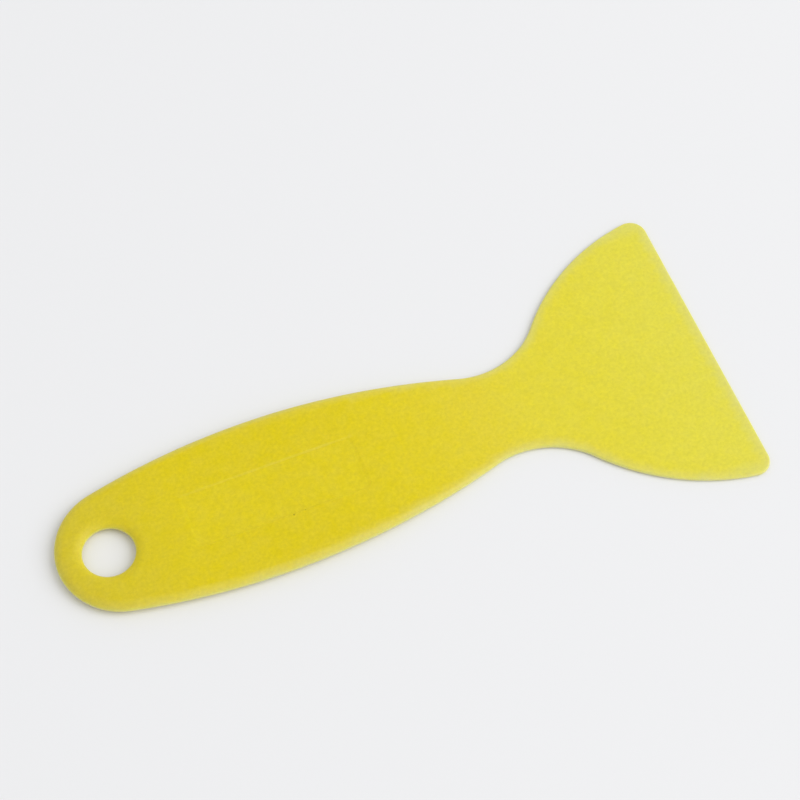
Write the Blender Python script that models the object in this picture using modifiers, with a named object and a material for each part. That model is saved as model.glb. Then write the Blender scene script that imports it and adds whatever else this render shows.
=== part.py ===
"""Hand squeegee for film and filler: one moulded plastic tool, lying flat.

+X runs from the hang-hole end to the working edge and +Z is up. The origin is under the middle
of the tool, on its flat underside. The tool is the same on both sides of its long axis. It thins
towards the working edge by a slope of its upper face only.
"""

import math

import bmesh
import bpy
from mathutils import Vector

MM = 0.001

# Plan view. Places along the tool are counted from the butt, and widths from the long axis.
LENGTH = 130.0 * MM
BUTT_RADIUS = 12.7 * MM
BELLY_AT = 40.7 * MM
BELLY_HALF_WIDTH = 15.9 * MM
NECK_AT = 87.3 * MM
NECK_HALF_WIDTH = 9.1 * MM
NECK_RADIUS = 16.7 * MM
FLANK_RADIUS = 43.4 * MM
BLADE_HALF_WIDTH = 30.0 * MM
CORNER_RADIUS = 3.2 * MM

# Thickness at places along the tool
HANDLE_THICKNESS = 2.6 * MM
TAPER_STARTS_AT = 45.0 * MM
BLADE_STARTS_AT = 100.0 * MM
BLADE_THICKNESS = 1.0 * MM
LIP_THICKNESS = 0.7 * MM

# All of the outer edge is fully rounded. Towards the butt its rounding gets wider than it is high.
BUTT_SPREAD = 1.5
SPREAD_ENDS_AT = 85.0 * MM

# Hang hole, whose rims are rounded until they almost meet half-way through the wall.
HOLE_AT = 9.8 * MM
HOLE_RADIUS = 4.9 * MM
HOLE_RIM_WIDTH = 2.2 * MM
HOLE_RIM_DEPTH = 1.25 * MM
HOLE_RIM_SWEEP = math.radians(75.0)
HOLE_SEGMENTS = 56

# Fineness
CHORD_ERROR = 0.006 * MM
EDGE_STEPS = 10
RIM_STEPS = 4
WELD = 0.01 * MM

YELLOW = (0.74, 0.63, 0.028, 1.0)
ROUGHNESS = 0.42

BUTT_X = -LENGTH / 2


def clear_scene():
    """Remove whatever the opened file holds."""
    for obj in list(bpy.data.objects):
        bpy.data.objects.remove(obj)


def new_collection(name):
    """A collection linked to the scene."""
    collection = bpy.data.collections.new(name)
    bpy.context.scene.collection.children.link(collection)
    return collection


def plastic():
    """The moulding's own yellow plastic."""
    material = bpy.data.materials.new("yellow_plastic")
    material.use_nodes = True
    shader = material.node_tree.nodes["Principled BSDF"]
    shader.inputs["Base Color"].default_value = YELLOW
    shader.inputs["Roughness"].default_value = ROUGHNESS
    shader.inputs["Metallic"].default_value = 0.0
    return material


def smoothstep(start, end, value):
    """0 before start, 1 after end, and a smooth rise between them."""
    t = min(max((value - start) / (end - start), 0.0), 1.0)
    return t * t * (3.0 - 2.0 * t)


def half_thickness(x):
    """Half of the section's thickness at a place along the tool, counted from the butt."""
    taper = smoothstep(TAPER_STARTS_AT, BLADE_STARTS_AT, x)
    thickness = HANDLE_THICKNESS + (BLADE_THICKNESS - HANDLE_THICKNESS) * taper
    if x > BLADE_STARTS_AT:
        lip_share = (x - BLADE_STARTS_AT) / (LENGTH - BLADE_STARTS_AT)
        thickness += (LIP_THICKNESS - BLADE_THICKNESS) * lip_share
    return thickness / 2


def edge_width(x):
    """Width in the plan of the edge's rounding at a place along the tool."""
    spread = BUTT_SPREAD + (1.0 - BUTT_SPREAD) * smoothstep(0.0, SPREAD_ENDS_AT, x)
    return half_thickness(x) * spread


def angle_to(centre, point):
    """Direction of a point seen from an arc's centre."""
    return math.atan2(point.y - centre.y, point.x - centre.x)


def lower_crossing(centre_a, radius_a, centre_b, radius_b):
    """Of the two crossings of two circles, the one nearer to the long axis."""
    gap = centre_b - centre_a
    distance = gap.length
    along = (radius_a ** 2 - radius_b ** 2 + distance ** 2) / (2 * distance)
    across = math.sqrt(radius_a ** 2 - along ** 2)
    foot = centre_a + gap * (along / distance)
    side = Vector((-gap.y, gap.x)) * (across / distance)
    return min(foot + side, foot - side, key=lambda point: point.y)


def arc(centre, radius, start, end, hollow=False):
    """Points and outward normals of an arc between two angles, without its last point."""
    step = 2 * math.acos(1 - CHORD_ERROR / radius)
    count = max(2, math.ceil(abs(end - start) / step))
    rows = []
    for i in range(count):
        angle = start + (end - start) * i / count
        radial = Vector((math.cos(angle), math.sin(angle)))
        rows.append((centre + radial * radius, -radial if hollow else radial))
    return rows


def half_outline():
    """The far half of the plan, from the butt to the middle of the working edge, as tangent arcs."""
    butt = Vector((BUTT_RADIUS, 0.0))
    belly = Vector((BELLY_AT, BELLY_HALF_WIDTH))
    rise = BELLY_HALF_WIDTH - BUTT_RADIUS
    grip_radius = ((butt - belly).length_squared - BUTT_RADIUS ** 2) / (2 * rise)
    grip = belly - Vector((0.0, grip_radius))

    neck_drop = BELLY_HALF_WIDTH - NECK_HALF_WIDTH
    neck_run = NECK_AT - BELLY_AT
    radius_sum = (neck_run ** 2 + neck_drop ** 2) / (2 * neck_drop)
    shoulder_radius = radius_sum - NECK_RADIUS
    shoulder = belly - Vector((0.0, shoulder_radius))
    neck = Vector((NECK_AT, NECK_HALF_WIDTH + NECK_RADIUS))

    corner = Vector((LENGTH - CORNER_RADIUS, BLADE_HALF_WIDTH - CORNER_RADIUS))
    flank = lower_crossing(neck, NECK_RADIUS + FLANK_RADIUS, corner, FLANK_RADIUS - CORNER_RADIUS)

    crest = math.pi / 2
    butt_to_grip = angle_to(grip, butt)
    shoulder_to_neck = angle_to(shoulder, neck)
    neck_to_flank = angle_to(neck, flank)
    flank_to_corner = angle_to(flank, corner)
    rows = arc(butt, BUTT_RADIUS, math.pi, butt_to_grip)
    rows += arc(grip, grip_radius, butt_to_grip, crest)
    rows += arc(shoulder, shoulder_radius, crest, shoulder_to_neck)
    rows += arc(neck, NECK_RADIUS, shoulder_to_neck - math.pi, neck_to_flank, hollow=True)
    rows += arc(flank, FLANK_RADIUS, neck_to_flank + math.pi, flank_to_corner)
    rows += arc(corner, CORNER_RADIUS, flank_to_corner, 0.0)

    forward = Vector((1.0, 0.0))
    rows.append((Vector((LENGTH, corner.y)), forward))
    rows.append((Vector((LENGTH, 0.0)), forward))
    return rows


def edge_ring(mesh, outline, lean):
    """Vertices once round the outline at a step of its rounded edge, as an angle from its crest."""
    ring = []
    for point, normal in outline:
        width = edge_width(point.x)
        crest_x = point.x - normal.x * width
        inset = width * (1 - math.cos(lean))
        x = BUTT_X + point.x - normal.x * inset
        y = point.y - normal.y * inset
        z = half_thickness(crest_x) * (1 + math.sin(lean))
        ring.append(mesh.verts.new((x, y, z)))
    return ring


def close_face(mesh, ring, flip):
    """Rungs from a ring to the long axis, which fill the top or the bottom of the half."""
    axis = [ring[0]]
    for vert in ring[1:-2]:
        axis.append(mesh.verts.new((vert.co.x, 0.0, vert.co.z)))
    axis.append(ring[-1])
    for i in range(len(axis) - 1):
        corners = [ring[i], ring[i + 1], axis[i + 1]]
        if i > 0:
            corners.append(axis[i])
        if flip:
            corners.reverse()
        mesh.faces.new(corners)


def half_body():
    """The far half of the moulding, open at the long axis, as a loft of rings round its edge."""
    outline = half_outline()
    mesh = bmesh.new()
    rings = []
    for step in range(EDGE_STEPS + 1):
        lean = math.pi * (step / EDGE_STEPS - 0.5)
        rings.append(edge_ring(mesh, outline, lean))
    for low, high in zip(rings, rings[1:]):
        for i in range(len(outline) - 1):
            mesh.faces.new((low[i], high[i], high[i + 1], low[i + 1]))
    close_face(mesh, rings[0], flip=False)
    close_face(mesh, rings[-1], flip=True)
    data = bpy.data.meshes.new("squeegee_body")
    mesh.to_mesh(data)
    mesh.free()
    data.shade_smooth()
    data.set_sharp_from_angle(angle=math.radians(30.0))
    return data


def hole_cutter(collection):
    """A turned plug as wide as the hang hole, which flares at both rims."""
    rim_centre = HOLE_RADIUS + HOLE_RIM_WIDTH
    edge = []
    for step in range(2 * RIM_STEPS + 1):
        lean = HOLE_RIM_SWEEP * (1 - step / RIM_STEPS)
        edge.append((rim_centre - HOLE_RIM_WIDTH * math.cos(lean), HOLE_RIM_DEPTH * math.sin(lean)))
    reach = HANDLE_THICKNESS
    flare = (reach - edge[0][1]) * (edge[0][0] - edge[1][0]) / (edge[0][1] - edge[1][1])
    mouth = edge[0][0] + flare
    profile = [(0.0, reach), (mouth, reach), *edge, (mouth, -reach), (0.0, -reach)]

    data = bpy.data.meshes.new("hang_hole_cutter")
    verts = [(x, 0.0, z) for x, z in profile]
    edges = [(i, i + 1) for i in range(len(profile) - 1)]
    data.from_pydata(verts, edges, [])
    cutter = bpy.data.objects.new("hang_hole_cutter", data)
    cutter.location = (BUTT_X + HOLE_AT, 0.0, HANDLE_THICKNESS / 2)
    cutter.hide_render = True
    cutter.display_type = "WIRE"
    collection.objects.link(cutter)

    turn = cutter.modifiers.new("turn", "SCREW")
    turn.axis = "Z"
    turn.steps = HOLE_SEGMENTS
    turn.render_steps = HOLE_SEGMENTS
    turn.use_merge_vertices = True
    turn.merge_threshold = WELD
    return cutter


def squeegee_body(collection, cutter):
    """The whole tool: the half moulding mirrored, with the hang hole cut through its butt."""
    body = bpy.data.objects.new("squeegee_body", half_body())
    body.data.materials.append(plastic())
    collection.objects.link(body)

    mirror = body.modifiers.new("other_half", "MIRROR")
    mirror.use_axis = (False, True, False)
    mirror.use_clip = True
    mirror.merge_threshold = WELD

    hole = body.modifiers.new("hang_hole", "BOOLEAN")
    hole.operation = "DIFFERENCE"
    hole.solver = "EXACT"
    hole.object = cutter
    return body


def main():
    """Build the tool."""
    clear_scene()
    parts = new_collection("squeegee_applicator")
    cutters = new_collection("cutters")
    squeegee_body(parts, hole_cutter(cutters))


main()
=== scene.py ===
"""Looks of the hand squeegee: one satin, slightly translucent yellow moulding on a pale floor.

The moulding is rebuilt as a fine mesh in the CAD frame: +X runs to the working edge, +Z is up,
and the flat underside is at z = 0. Places along the tool are counted from the butt, as in a
drawing, and the near side is the one towards -Y.
"""

import bisect
import math

import bmesh
import bpy
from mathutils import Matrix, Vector
from mathutils.geometry import delaunay_2d_cdt
from mathutils.kdtree import KDTree

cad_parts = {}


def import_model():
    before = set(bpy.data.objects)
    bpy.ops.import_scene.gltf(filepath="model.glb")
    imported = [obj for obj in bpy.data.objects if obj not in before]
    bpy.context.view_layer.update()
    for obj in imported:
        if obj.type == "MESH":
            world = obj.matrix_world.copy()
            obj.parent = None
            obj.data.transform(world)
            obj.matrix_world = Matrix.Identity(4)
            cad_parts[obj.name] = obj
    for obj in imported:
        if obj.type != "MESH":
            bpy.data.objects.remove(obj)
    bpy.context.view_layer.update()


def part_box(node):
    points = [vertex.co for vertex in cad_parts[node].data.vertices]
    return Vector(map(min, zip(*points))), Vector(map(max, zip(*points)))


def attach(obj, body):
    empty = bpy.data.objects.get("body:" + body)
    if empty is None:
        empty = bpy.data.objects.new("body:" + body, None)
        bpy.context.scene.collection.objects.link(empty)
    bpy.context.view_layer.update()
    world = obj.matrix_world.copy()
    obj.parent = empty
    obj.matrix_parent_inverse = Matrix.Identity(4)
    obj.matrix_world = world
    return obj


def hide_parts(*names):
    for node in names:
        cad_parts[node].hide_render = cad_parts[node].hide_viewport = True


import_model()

MM = 0.001
LOW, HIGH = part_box("squeegee_body")

# Overall sizes, from the frame
LENGTH = HIGH.x - LOW.x
HANDLE_THICKNESS = HIGH.z - LOW.z
BUTT_X = LOW.x

# Plan view, as tangent arcs
BUTT_RADIUS = 12.7 * MM
BELLY_AT = 40.7 * MM
BELLY_HALF_WIDTH = 15.9 * MM
NECK_AT = 87.3 * MM
NECK_HALF_WIDTH = 9.1 * MM
NECK_RADIUS = 16.7 * MM
FLANK_RADIUS = 43.4 * MM
BLADE_HALF_WIDTH = 30.0 * MM
CORNER_RADIUS = 3.2 * MM

# Section: flat underneath, with a sloping upper face, and a fully rounded edge. Towards the butt
# the edge's rounding gets wider than it is high.
TAPER_STARTS_AT = 45.0 * MM
BLADE_STARTS_AT = 100.0 * MM
BLADE_THICKNESS = 1.0 * MM
LIP_THICKNESS = 0.7 * MM
BUTT_SPREAD = 1.5
SPREAD_ENDS_AT = 85.0 * MM

# Hang hole, with broad soft rims
HOLE_AT = 9.8 * MM
HOLE_RADIUS = 4.9 * MM
HOLE_RIM_WIDTH = 2.2 * MM
HOLE_RIM_DEPTH = 1.25 * MM

# Ridge where the mould's halves part, at half the height of the edge
PARTING_RIDGE = 0.03 * MM
PARTING_HALF_WIDTH = 0.08 * MM

# Outline of the mould's insert, sunk in the handle's upper face
INSERT_START = 25.0 * MM
INSERT_END = 59.2 * MM
INSERT_HALF_WIDTH = 5.75 * MM
INSERT_OFFSET = -0.3 * MM
INSERT_CORNER = 1.0 * MM
INSERT_DEPTH = 0.17 * MM
INSERT_SIDE_WALL = 0.32 * MM
INSERT_END_WALL = 0.5 * MM

# Marks of the gate and the ejector pins, underneath
GATE_AT = 42.0 * MM
GATE_DIMPLE_RADIUS = 2.0 * MM
GATE_DIMPLE_DEPTH = 0.25 * MM
GATE_STUB_RADIUS = 0.6 * MM
EJECTOR_PLACES = (
    (22.0 * MM, 7.0 * MM),
    (22.0 * MM, -7.0 * MM),
    (66.0 * MM, 7.0 * MM),
    (66.0 * MM, -7.0 * MM),
    (112.0 * MM, 14.0 * MM),
    (112.0 * MM, -14.0 * MM),
)
EJECTOR_RADIUS = 2.5 * MM
EJECTOR_DEPTH = 0.05 * MM
MARK_WALL = 0.15 * MM

# Fineness of the mesh
CHORD_ERROR = 0.001 * MM
LONGEST_STEP = 0.6 * MM
EDGE_STEPS = 28
RIM_STEPS = 14
HOLE_SEGMENTS = 160
CORNER_STEPS = 6
PIT_SEGMENTS = 48
STUB_SEGMENTS = 32
SHARP_ANGLE = math.radians(35.0)

# Distance of the extra loops that hold the shading flat beside a sunk mark, and a small tolerance
SUPPORT_GAP = 0.12 * MM
SLACK = 0.01 * MM

# Points that fill the faces. Rows are a little closer than the pitch and shifted by turns, and
# they keep a gap from every outline.
GRID_PITCH = 1.4 * MM
GRID_SHIFT = 0.25
ROW_SQUEEZE = 0.9
GRID_GAP = 0.45 * MM

# Tolerances of the sheet: the least width that is divided by, and how near counts as joined
LEAST_WIDTH = 1e-9
JOIN_WITHIN = 1e-7

# Colour of the plastic over white by its share of the handle's thickness, thin to thick
PLASTIC_COLOURS = (
    (0.00, (0.780, 0.720, 0.220)),
    (0.28, (0.755, 0.690, 0.062)),
    (0.36, (0.752, 0.668, 0.037)),
    (0.50, (0.742, 0.626, 0.025)),
    (0.75, (0.730, 0.606, 0.005)),
    (1.00, (0.712, 0.583, 0.0)),
)

# Noises over the plastic, as scale, detail and roughness, and what their values are mapped to
NOISE_LOW = 0.3
NOISE_HIGH = 0.7
MOTTLING_NOISE = (1500.0, 3.0, 0.7)
MOTTLING = (0.93, 1.07)
PALENESS_NOISE = (500.0, 2.0, 0.5)
PALENESS = (1.0, 0.98)
GLOSS_NOISE = (420.0, 4.0, 0.5)
GLOSS_ROUGHNESS = (0.36, 0.46)
GRAIN_NOISE = (3200.0, 2.0, 0.5)
GRAIN_STRENGTH = 0.25
GRAIN_DEPTH = 0.02 * MM

# The outer edge is painted pale, unevenly and least at the butt: painted sheen of the white
# surroundings on the rounded edge. The insert's far step gets a little painted highlight.
PAINTED_SHEEN_COLOUR = (0.57, 0.62, 0.43)
SHEEN_REACH = 1.8 * MM
SHEEN_NOISE = (260.0, 3.0, 0.5)
RIM_SHEEN = 0.30
RIM_SHEEN_SPREAD = (0.7, 1.3)
BUTT_SHEEN = 0.3
BUTT_SHEEN_UNTIL = 4.0 * MM
FULL_SHEEN_FROM = 32.0 * MM
FAR_STEP_HIGHLIGHT = 0.12

# Painted shade: the end that hangs up is painted duller and less strong in colour, from its tip
# to a reach along the handle.
BUTT_SHADE_TONE = 0.90
BUTT_SHADE_SATURATION = 0.97
BUTT_SHADE_REACH = 24.0 * MM

# Specks of dirt moulded into the upper face: place along, place across and radius
SPECKS = (
    (43.5 * MM, -6.1 * MM, 0.24 * MM),
    (45.8 * MM, -5.9 * MM, 0.18 * MM),
    (33.7 * MM, -2.7 * MM, 0.18 * MM),
)
SPECK_TONE = 0.6

# Sockets of a colour mix, which go by number because the kinds of mix share their names
MIX_FIRST = 6
MIX_SECOND = 7
MIX_RESULT = 2

# Camera
VIEW_ELEVATION = math.radians(60.8)
VIEW_TURN = math.radians(22.22)
VIEW_DISTANCE = 436.0 * MM
VIEW_TARGET = Vector((BUTT_X + 70.74 * MM, 9.45 * MM, HANDLE_THICKNESS / 2))
LENS = 104.2
SENSOR_WIDTH = 36.0
CLIP_START = 0.01

# Floor and light
FLOOR_SIZE = 3.0
FLOOR_GAP = 0.02 * MM
FLOOR_COLOUR = (0.83, 0.833, 0.845, 1.0)
WHITE = (1.0, 1.0, 1.0, 1.0)
SKY_LIGHT = 0.72
KEY_AZIMUTH = math.radians(-24.0)
KEY_ELEVATION = math.radians(42.0)
KEY_DISTANCE = 2.5
KEY_SIZE = 2.0
KEY_POWER = 36.0


def smoothstep(start, end, value):
    """0 before start, 1 after end, and a smooth rise between them."""
    share = min(max((value - start) / (end - start), 0.0), 1.0)
    return share * share * (3.0 - 2.0 * share)


def half_thickness(x):
    """Half of the section's thickness at a place along the tool, counted from the butt."""
    taper = smoothstep(TAPER_STARTS_AT, BLADE_STARTS_AT, x)
    thickness = HANDLE_THICKNESS + (BLADE_THICKNESS - HANDLE_THICKNESS) * taper
    if x > BLADE_STARTS_AT:
        lip_share = (x - BLADE_STARTS_AT) / (LENGTH - BLADE_STARTS_AT)
        thickness += (LIP_THICKNESS - BLADE_THICKNESS) * lip_share
    return thickness / 2


def edge_width(x):
    """Width in the plan of the edge's rounding at a place along the tool."""
    spread = BUTT_SPREAD + (1.0 - BUTT_SPREAD) * smoothstep(0.0, SPREAD_ENDS_AT, x)
    return half_thickness(x) * spread


# ---------------------------------------------------------------- plan outline


def angle_to(centre, point):
    """Direction of a point seen from an arc's centre."""
    return math.atan2(point.y - centre.y, point.x - centre.x)


def lower_crossing(centre_a, radius_a, centre_b, radius_b):
    """Of the two crossings of two circles, the one nearer to the long axis."""
    gap = centre_b - centre_a
    distance = gap.length
    along = (radius_a ** 2 - radius_b ** 2 + distance ** 2) / (2 * distance)
    across = math.sqrt(radius_a ** 2 - along ** 2)
    foot = centre_a + gap * (along / distance)
    side = Vector((-gap.y, gap.x)) * (across / distance)
    return min(foot + side, foot - side, key=lambda point: point.y)


def arc(centre, radius, start, end, hollow=False):
    """Points and outward normals of an arc between two angles, without its last point."""
    step = min(2 * math.acos(1 - CHORD_ERROR / radius), LONGEST_STEP / radius)
    count = max(2, math.ceil(abs(end - start) / step))
    rows = []
    for i in range(count):
        angle = start + (end - start) * i / count
        radial = Vector((math.cos(angle), math.sin(angle)))
        rows.append((centre + radial * radius, -radial if hollow else radial))
    return rows


def half_outline():
    """The far half of the plan, from the butt to the middle of the working edge."""
    butt = Vector((BUTT_RADIUS, 0.0))
    belly = Vector((BELLY_AT, BELLY_HALF_WIDTH))
    rise = BELLY_HALF_WIDTH - BUTT_RADIUS
    grip_radius = ((butt - belly).length_squared - BUTT_RADIUS ** 2) / (2 * rise)
    grip = belly - Vector((0.0, grip_radius))

    neck_drop = BELLY_HALF_WIDTH - NECK_HALF_WIDTH
    neck_run = NECK_AT - BELLY_AT
    radius_sum = (neck_run ** 2 + neck_drop ** 2) / (2 * neck_drop)
    shoulder_radius = radius_sum - NECK_RADIUS
    shoulder = belly - Vector((0.0, shoulder_radius))
    neck = Vector((NECK_AT, NECK_HALF_WIDTH + NECK_RADIUS))

    corner = Vector((LENGTH - CORNER_RADIUS, BLADE_HALF_WIDTH - CORNER_RADIUS))
    flank = lower_crossing(neck, NECK_RADIUS + FLANK_RADIUS, corner, FLANK_RADIUS - CORNER_RADIUS)

    crest = math.pi / 2
    butt_to_grip = angle_to(grip, butt)
    shoulder_to_neck = angle_to(shoulder, neck)
    neck_to_flank = angle_to(neck, flank)
    flank_to_corner = angle_to(flank, corner)
    rows = arc(butt, BUTT_RADIUS, math.pi, butt_to_grip)
    rows += arc(grip, grip_radius, butt_to_grip, crest)
    rows += arc(shoulder, shoulder_radius, crest, shoulder_to_neck)
    rows += arc(neck, NECK_RADIUS, shoulder_to_neck - math.pi, neck_to_flank, hollow=True)
    rows += arc(flank, FLANK_RADIUS, neck_to_flank + math.pi, flank_to_corner)
    rows += arc(corner, CORNER_RADIUS, flank_to_corner, 0.0)

    forward = Vector((1.0, 0.0))
    edge_steps = math.ceil(corner.y / LONGEST_STEP)
    for i in range(edge_steps + 1):
        rows.append((Vector((LENGTH, corner.y * (1 - i / edge_steps))), forward))
    return rows


def whole_outline():
    """The closed plan, clockwise from above: the far half, then its mirror image."""
    far = half_outline()
    near = []
    for point, normal in reversed(far[1:-1]):
        near.append((Vector((point.x, -point.y)), Vector((normal.x, -normal.y))))
    return far + near


# ---------------------------------------------------------------- mesh


def edge_leans():
    """Steps of the rounded edge, from underneath to the top, with a close pair at its ridge."""
    leans = [math.pi * (step / EDGE_STEPS - 0.5) for step in range(EDGE_STEPS + 1)]
    ridge = PARTING_HALF_WIDTH / (HANDLE_THICKNESS / 2)
    return sorted(leans + [-ridge, ridge])


def edge_ring(mesh, outline, lean):
    """Vertices once round the outline at a step of its rounded edge, as an angle from its crest."""
    ridge = PARTING_RIDGE if lean == 0.0 else 0.0
    ring = []
    for point, normal in outline:
        width = edge_width(point.x)
        crest_x = point.x - normal.x * width
        inset = width * (1 - math.cos(lean)) - ridge
        x = BUTT_X + point.x - normal.x * inset
        y = point.y - normal.y * inset
        z = LOW.z + half_thickness(crest_x) * (1 + math.sin(lean))
        ring.append(mesh.verts.new((x, y, z)))
    return ring


def bridge(mesh, low, high):
    """Quads between two closed rings with the same count."""
    for i, vert in enumerate(low):
        j = (i + 1) % len(low)
        mesh.faces.new((vert, high[i], high[j], low[j]))


def circle(x, y, radius, count):
    """Points round a circle in the plan, counter-clockwise from above."""
    turns = [2 * math.pi * i / count for i in range(count)]
    return [Vector((x + radius * math.cos(turn), y + radius * math.sin(turn))) for turn in turns]


def rounded_box(x_start, x_end, y_start, y_end, corner):
    """Points round a rectangle with round corners, counter-clockwise from above.

    Each corner is the middle of its arc and the angle where that starts, in half turns.
    """
    corners = (
        (x_end - corner, y_end - corner, 0.0),
        (x_start + corner, y_end - corner, 0.5),
        (x_start + corner, y_start + corner, 1.0),
        (x_end - corner, y_start + corner, 1.5),
    )
    bends = []
    for x, y, start in corners:
        for i in range(CORNER_STEPS + 1):
            angle = math.pi * (start + i / (2 * CORNER_STEPS))
            bends.append(Vector((x + corner * math.cos(angle), y + corner * math.sin(angle))))
    points = []
    for here, there in zip(bends, bends[1:] + bends[:1]):
        count = max(1, math.ceil((there - here).length / LONGEST_STEP))
        points += [here.lerp(there, i / count) for i in range(count)]
    return points


def insert_loops():
    """The sunk outline of the mould's insert on the handle, as loops with their depths."""
    loops = []
    for end_inset, side_inset, depth in (
        (-SUPPORT_GAP, -SUPPORT_GAP, 0.0),
        (0.0, 0.0, 0.0),
        (INSERT_END_WALL, INSERT_SIDE_WALL, INSERT_DEPTH),
        (INSERT_END_WALL + SUPPORT_GAP, INSERT_SIDE_WALL + SUPPORT_GAP, INSERT_DEPTH),
    ):
        outline = rounded_box(
            INSERT_START + end_inset,
            INSERT_END - end_inset,
            INSERT_OFFSET - INSERT_HALF_WIDTH + side_inset,
            INSERT_OFFSET + INSERT_HALF_WIDTH - side_inset,
            INSERT_CORNER - side_inset,
        )
        loops.append((outline, depth))
    return loops


def pit_loops(x, y, radius, depth):
    """A round sunk mark as loops with their depths."""
    steps = (
        (radius + SUPPORT_GAP, 0.0),
        (radius, 0.0),
        (radius - MARK_WALL, depth),
        (radius - MARK_WALL - SUPPORT_GAP, depth),
    )
    return [(circle(x, y, reach, PIT_SEGMENTS), level) for reach, level in steps]


def underside_loops():
    """The gate's dimple with its snapped stub, and the marks of the ejector pins."""
    loops = pit_loops(GATE_AT, 0.0, GATE_DIMPLE_RADIUS, GATE_DIMPLE_DEPTH)
    stub_foot = circle(GATE_AT, 0.0, GATE_STUB_RADIUS + MARK_WALL, STUB_SEGMENTS)
    stub_top = circle(GATE_AT, 0.0, GATE_STUB_RADIUS, STUB_SEGMENTS)
    loops.append((stub_foot, GATE_DIMPLE_DEPTH))
    loops.append((stub_top, GATE_DIMPLE_DEPTH / 3))
    for x, y in EJECTOR_PLACES:
        loops += pit_loops(x, y, EJECTOR_RADIUS, EJECTOR_DEPTH)
    return loops


def loop_clearance(point, loop):
    """Distance in the plan from a point to the nearest point of a loop."""
    return min((point - other).length for other in loop)


def inside(point, loop):
    """True where a point lies inside a closed loop."""
    crossings = 0
    for here, there in zip(loop, loop[1:] + loop[:1]):
        if (here.y > point.y) != (there.y > point.y):
            rise_share = (point.y - here.y) / (there.y - here.y)
            crossings += here.x + (there.x - here.x) * rise_share > point.x
    return crossings % 2 == 1


def face_sheet(mesh, rim, hole, side, loops):
    """Triangles over the top (side 1) or the underside (side -1), between its rim and the hole.

    Loops are the outlines of sunk marks, each with its depth below the face.
    """
    far_rim = [vert for vert in rim if vert.co.y >= 0.0]
    far_rim.sort(key=lambda vert: vert.co.x)
    reach_x = [vert.co.x - BUTT_X for vert in far_rim]
    reach_y = [vert.co.y for vert in far_rim]

    def half_width(x):
        """Half of the sheet's width at a place along the tool."""
        if not reach_x[0] < x < reach_x[-1]:
            return 0.0
        i = bisect.bisect(reach_x, x)
        share = (x - reach_x[i - 1]) / max(reach_x[i] - reach_x[i - 1], LEAST_WIDTH)
        return reach_y[i - 1] + (reach_y[i] - reach_y[i - 1]) * share

    hole_centre = Vector((HOLE_AT, 0.0))
    hole_reach = HOLE_RADIUS + HOLE_RIM_WIDTH

    def height(x, depth):
        """Height of the face at a place along the tool, sunk by a depth."""
        return LOW.z + half_thickness(x) * (1 + side) - side * depth

    points = []
    edges = []
    verts = []

    def add_loop(members):
        """Enter a closed loop of vertices as constraints."""
        start = len(points)
        for i, vert in enumerate(members):
            verts.append(vert)
            points.append(Vector((vert.co.x - BUTT_X, vert.co.y)))
            edges.append((start + i, start + (i + 1) % len(members)))

    add_loop(rim)
    add_loop(hole)
    for outline, depth in loops:
        members = []
        for point in outline:
            members.append(mesh.verts.new((BUTT_X + point.x, point.y, height(point.x, depth))))
        add_loop(members)

    columns = math.floor(LENGTH / GRID_PITCH)
    rows = math.floor(BLADE_HALF_WIDTH / GRID_PITCH)
    for i in range(1, columns):
        for j in range(-rows, rows + 1):
            shift = GRID_SHIFT if j % 2 else -GRID_SHIFT
            point = Vector(((i + shift) * GRID_PITCH, j * GRID_PITCH * ROW_SQUEEZE))
            if half_width(point.x) - abs(point.y) < GRID_GAP:
                continue
            if min(half_width(point.x - GRID_GAP), half_width(point.x + GRID_GAP)) < abs(point.y):
                continue
            if (point - hole_centre).length < hole_reach + GRID_GAP:
                continue
            if any(loop_clearance(point, outline) < GRID_GAP for outline, _ in loops):
                continue
            depth = 0.0
            for outline, level in loops:
                if inside(point, outline):
                    depth = level
            vert = mesh.verts.new((BUTT_X + point.x, point.y, height(point.x, depth)))
            verts.append(vert)
            points.append(point)

    flat, _, triangles, origins, _, _ = delaunay_2d_cdt(points, edges, [], 0, JOIN_WITHIN, True)
    for triangle in triangles:
        centre = sum((flat[i] for i in triangle), Vector((0.0, 0.0))) / 3
        if abs(centre.y) > half_width(centre.x):
            continue
        if (centre - hole_centre).length < hole_reach * math.cos(math.pi / HOLE_SEGMENTS):
            continue
        corners = [verts[origins[i][0]] for i in triangle]
        if side < 0:
            corners.reverse()
        mesh.faces.new(corners)


def hole_rings(mesh):
    """Vertices round the hang hole from its top rim down to the bottom one."""
    rim_centre = HOLE_RADIUS + HOLE_RIM_WIDTH
    middle = HANDLE_THICKNESS / 2
    land = middle - HOLE_RIM_DEPTH
    rings = []
    for side in (1, -1):
        for i in range(RIM_STEPS + 1):
            share = i / RIM_STEPS if side > 0 else 1 - i / RIM_STEPS
            lean = math.pi / 2 * (1 - share)
            radius = rim_centre - HOLE_RIM_WIDTH * math.cos(lean)
            z = LOW.z + middle + side * (land + HOLE_RIM_DEPTH * math.sin(lean))
            ring = circle(HOLE_AT, 0.0, radius, HOLE_SEGMENTS)
            rings.append([mesh.verts.new((BUTT_X + point.x, point.y, z)) for point in ring])
    return rings


def wall_thickness(point):
    """How much plastic lies straight below and above a point of the surface."""
    return 2 * abs(point.z - LOW.z - half_thickness(point.x - BUTT_X))


def on_far_wall(point):
    """True on the step at the far side of the insert's outline."""
    along = point.x - BUTT_X
    inward = INSERT_OFFSET + INSERT_HALF_WIDTH - point.y
    on_step = -SLACK < inward < INSERT_SIDE_WALL + SLACK
    return on_step and INSERT_START < along < INSERT_END and point.z > HANDLE_THICKNESS / 2


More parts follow.
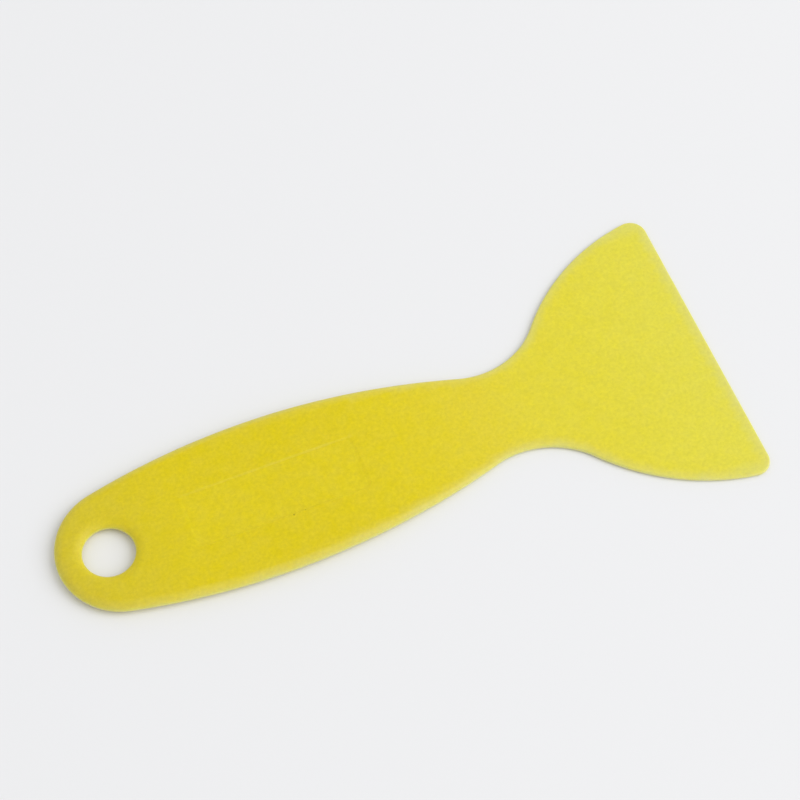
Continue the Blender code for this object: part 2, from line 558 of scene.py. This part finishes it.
def sheen_shares(data, outline):
    """Share of painted sheen at each vertex: 1 on the outer edge and 0 from a short way inside it.

    The far step of the insert's outline has a small share of its own, as a painted highlight.
    """
    tree = KDTree(len(outline))
    for i, (point, _) in enumerate(outline):
        tree.insert((BUTT_X + point.x, point.y, 0.0), i)
    tree.balance()
    shares = []
    for vert in data.vertices:
        distance = tree.find((vert.co.x, vert.co.y, 0.0))[2]
        # The insert's far step takes a small painted highlight.
        share = FAR_STEP_HIGHLIGHT if on_far_wall(vert.co) else 0.0
        shares.append(max(1.0 - distance / SHEEN_REACH, share))
    return shares


def moulding():
    """The whole moulding as one closed mesh, with wall thickness and painted sheen kept at its
    vertices.
    """
    outline = whole_outline()
    mesh = bmesh.new()
    rings = [edge_ring(mesh, outline, lean) for lean in edge_leans()]
    for low, high in zip(rings, rings[1:]):
        bridge(mesh, low, high)
    hole = hole_rings(mesh)
    for high, low in zip(hole, hole[1:]):
        bridge(mesh, low, high)
    face_sheet(mesh, rings[-1], hole[0], 1, insert_loops())
    face_sheet(mesh, rings[0], hole[-1], -1, underside_loops())
    bmesh.ops.recalc_face_normals(mesh, faces=mesh.faces)
    data = bpy.data.meshes.new("moulding")
    mesh.to_mesh(data)
    mesh.free()
    data.shade_smooth()
    data.set_sharp_from_angle(angle=SHARP_ANGLE)
    walls = [wall_thickness(vert.co) / HANDLE_THICKNESS for vert in data.vertices]
    # The 'rim' attribute masks the painted sheen on the outer edge and on the insert's far step.
    for name, values in (("wall", walls), ("rim", sheen_shares(data, outline))):
        data.attributes.new(name, "FLOAT", "POINT").data.foreach_set("value", values)
    moulding_object = bpy.data.objects.new("moulding", data)
    bpy.context.scene.collection.objects.link(moulding_object)
    return moulding_object


# ---------------------------------------------------------------- materials


def new_material(name):
    """A material, with its node tree and its shader."""
    material = bpy.data.materials.new(name)
    material.use_nodes = True
    tree = material.node_tree
    return material, tree, tree.nodes["Principled BSDF"]


def add_node(tree, kind, **settings):
    """A node with some of its properties set."""
    node = tree.nodes.new(kind)
    for key, value in settings.items():
        setattr(node, key, value)
    return node


def noise(tree, coordinates, scale, detail, roughness):
    """A noise texture on given coordinates."""
    node = add_node(tree, "ShaderNodeTexNoise")
    node.inputs["Scale"].default_value = scale
    node.inputs["Detail"].default_value = detail
    node.inputs["Roughness"].default_value = roughness
    tree.links.new(coordinates, node.inputs["Vector"])
    return node.outputs["Fac"]


def remap(tree, value, low, high, start=NOISE_LOW, end=NOISE_HIGH):
    """A value between start and end, by default the span of a noise, mapped to low and high."""
    node = add_node(tree, "ShaderNodeMapRange")
    node.inputs["From Min"].default_value = start
    node.inputs["From Max"].default_value = end
    node.inputs["To Min"].default_value = low
    node.inputs["To Max"].default_value = high
    tree.links.new(value, node.inputs["Value"])
    return node.outputs["Result"]


def product(tree, first, second):
    """Two values multiplied."""
    node = add_node(tree, "ShaderNodeMath", operation="MULTIPLY")
    tree.links.new(first, node.inputs[0])
    tree.links.new(second, node.inputs[1])
    return node.outputs["Value"]


def specks(tree, coordinates):
    """1 on clean plastic, and less on the specks of dirt."""
    dimming = None
    for x, y, radius in SPECKS:
        gap = add_node(tree, "ShaderNodeVectorMath", operation="DISTANCE")
        gap.inputs[1].default_value = (BUTT_X + x, y, HANDLE_THICKNESS)
        tree.links.new(coordinates, gap.inputs[0])
        shade = remap(tree, gap.outputs["Value"], SPECK_TONE, 1.0, radius / 2, radius)
        dimming = product(tree, dimming, shade) if dimming else shade
    return dimming


def plastic():
    """Satin polypropylene: colour by wall thickness, faint mottling, dirt specks, fine grain and
    gloss.

    A painted sheen pales the outer edge, and painted shade dulls the end towards the butt.
    """
    material, tree, shader = new_material("yellow_plastic")
    wall = add_node(tree, "ShaderNodeAttribute", attribute_name="wall")
    ramp = add_node(tree, "ShaderNodeValToRGB")
    stops = ramp.color_ramp.elements
    while len(stops) < len(PLASTIC_COLOURS):
        stops.new(1.0)
    for stop, (place, colour) in zip(stops, PLASTIC_COLOURS):
        stop.position = place
        stop.color = (*colour, 1.0)
    tree.links.new(wall.outputs["Fac"], ramp.inputs["Fac"])

    coordinates = add_node(tree, "ShaderNodeTexCoord").outputs["Object"]
    along = add_node(tree, "ShaderNodeSeparateXYZ")
    tree.links.new(coordinates, along.inputs["Vector"])
    # Painted shade: darker and less strong in colour towards the butt. The specks are dirt.
    reach = BUTT_X + BUTT_SHADE_REACH
    butt_shade = remap(tree, along.outputs["X"], BUTT_SHADE_TONE, 1.0, BUTT_X, reach)
    shaded_saturation = remap(tree, along.outputs["X"], BUTT_SHADE_SATURATION, 1.0, BUTT_X, reach)
    mottling = remap(tree, noise(tree, coordinates, *MOTTLING_NOISE), *MOTTLING)
    paleness = remap(tree, noise(tree, coordinates, *PALENESS_NOISE), *PALENESS)
    tone = add_node(tree, "ShaderNodeHueSaturation")
    tree.links.new(product(tree, paleness, shaded_saturation), tone.inputs["Saturation"])
    tree.links.new(ramp.outputs["Color"], tone.inputs["Color"])
    dimming = product(tree, butt_shade, specks(tree, coordinates))
    tree.links.new(product(tree, mottling, dimming), tone.inputs["Value"])

    # Painted sheen: the edges masked by 'rim' are mixed towards a pale colour, least at the butt.
    rim = add_node(tree, "ShaderNodeAttribute", attribute_name="rim")
    patchy = noise(tree, coordinates, *SHEEN_NOISE)
    sheen = remap(tree, patchy, *(share * RIM_SHEEN for share in RIM_SHEEN_SPREAD))
    sheened = add_node(tree, "ShaderNodeMix", data_type="RGBA")
    sheened.inputs[MIX_SECOND].default_value = (*PAINTED_SHEEN_COLOUR, 1.0)
    sheen_start = BUTT_X + BUTT_SHEEN_UNTIL
    sheen_end = BUTT_X + FULL_SHEEN_FROM
    past_butt = remap(tree, along.outputs["X"], BUTT_SHEEN, 1.0, sheen_start, sheen_end)
    sheen_share = product(tree, rim.outputs["Fac"], past_butt)
    tree.links.new(product(tree, sheen_share, sheen), sheened.inputs["Factor"])
    tree.links.new(tone.outputs["Color"], sheened.inputs[MIX_FIRST])
    tree.links.new(sheened.outputs[MIX_RESULT], shader.inputs["Base Color"])

    gloss = remap(tree, noise(tree, coordinates, *GLOSS_NOISE), *GLOSS_ROUGHNESS)
    tree.links.new(gloss, shader.inputs["Roughness"])
    grain = add_node(tree, "ShaderNodeBump")
    grain.inputs["Strength"].default_value = GRAIN_STRENGTH
    grain.inputs["Distance"].default_value = GRAIN_DEPTH
    tree.links.new(noise(tree, coordinates, *GRAIN_NOISE), grain.inputs["Height"])
    tree.links.new(grain.outputs["Normal"], shader.inputs["Normal"])

    shader.inputs["IOR"].default_value = 1.49
    shader.inputs["Specular IOR Level"].default_value = 0.25
    shader.inputs["Subsurface Weight"].default_value = 0.5
    shader.inputs["Subsurface Radius"].default_value = (1.0, 0.8, 0.25)
    shader.inputs["Subsurface Scale"].default_value = 1.2 * MM
    return material


def floor_paint():
    """Plain matt white."""
    material, _, shader = new_material("floor_white")
    shader.inputs["Base Color"].default_value = FLOOR_COLOUR
    shader.inputs["Roughness"].default_value = 0.9
    shader.inputs["Specular IOR Level"].default_value = 0.2
    return material


# ---------------------------------------------------------------- stage


def floor():
    """A wide plain sheet just under the tool."""
    bpy.ops.mesh.primitive_plane_add(size=FLOOR_SIZE, location=(0.0, 0.0, LOW.z - FLOOR_GAP))
    sheet = bpy.context.object
    sheet.name = "floor"
    sheet.data.materials.append(floor_paint())
    return sheet


def world():
    """Even pale light from all round."""
    sky = bpy.data.worlds.new("studio")
    sky.use_nodes = True
    background = sky.node_tree.nodes["Background"]
    background.inputs["Color"].default_value = WHITE
    background.inputs["Strength"].default_value = SKY_LIGHT
    bpy.context.scene.world = sky


def key_light():
    """A large square softbox, beyond the working edge and a little to the near side."""
    data = bpy.data.lights.new("key_light", "AREA")
    data.size = KEY_SIZE
    data.energy = KEY_POWER
    lamp = bpy.data.objects.new("key_light", data)
    direction = Vector((
        math.cos(KEY_AZIMUTH) * math.cos(KEY_ELEVATION),
        math.sin(KEY_AZIMUTH) * math.cos(KEY_ELEVATION),
        math.sin(KEY_ELEVATION),
    ))
    lamp.location = direction * KEY_DISTANCE
    lamp.rotation_euler = direction.to_track_quat("Z", "Y").to_euler()
    bpy.context.scene.collection.objects.link(lamp)


def camera():
    """Camera above the tool's near side, turned a little towards the working edge."""
    forward = Vector((
        math.sin(VIEW_TURN) * math.cos(VIEW_ELEVATION),
        math.cos(VIEW_TURN) * math.cos(VIEW_ELEVATION),
        -math.sin(VIEW_ELEVATION),
    ))
    data = bpy.data.cameras.new("camera")
    data.sensor_width = SENSOR_WIDTH
    data.lens = LENS
    data.clip_start = CLIP_START
    view = bpy.data.objects.new("camera", data)
    view.location = VIEW_TARGET - forward * VIEW_DISTANCE
    view.rotation_euler = forward.to_track_quat("-Z", "Y").to_euler()
    bpy.context.scene.collection.objects.link(view)
    bpy.context.scene.camera = view


def main():
    """Build the tool's looks around the frame."""
    bpy.context.scene.view_settings.view_transform = "Standard"
    body = moulding()
    body.data.materials.append(plastic())
    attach(body, "root")
    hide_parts("squeegee_body")
    floor()
    world()
    key_light()
    camera()


main()
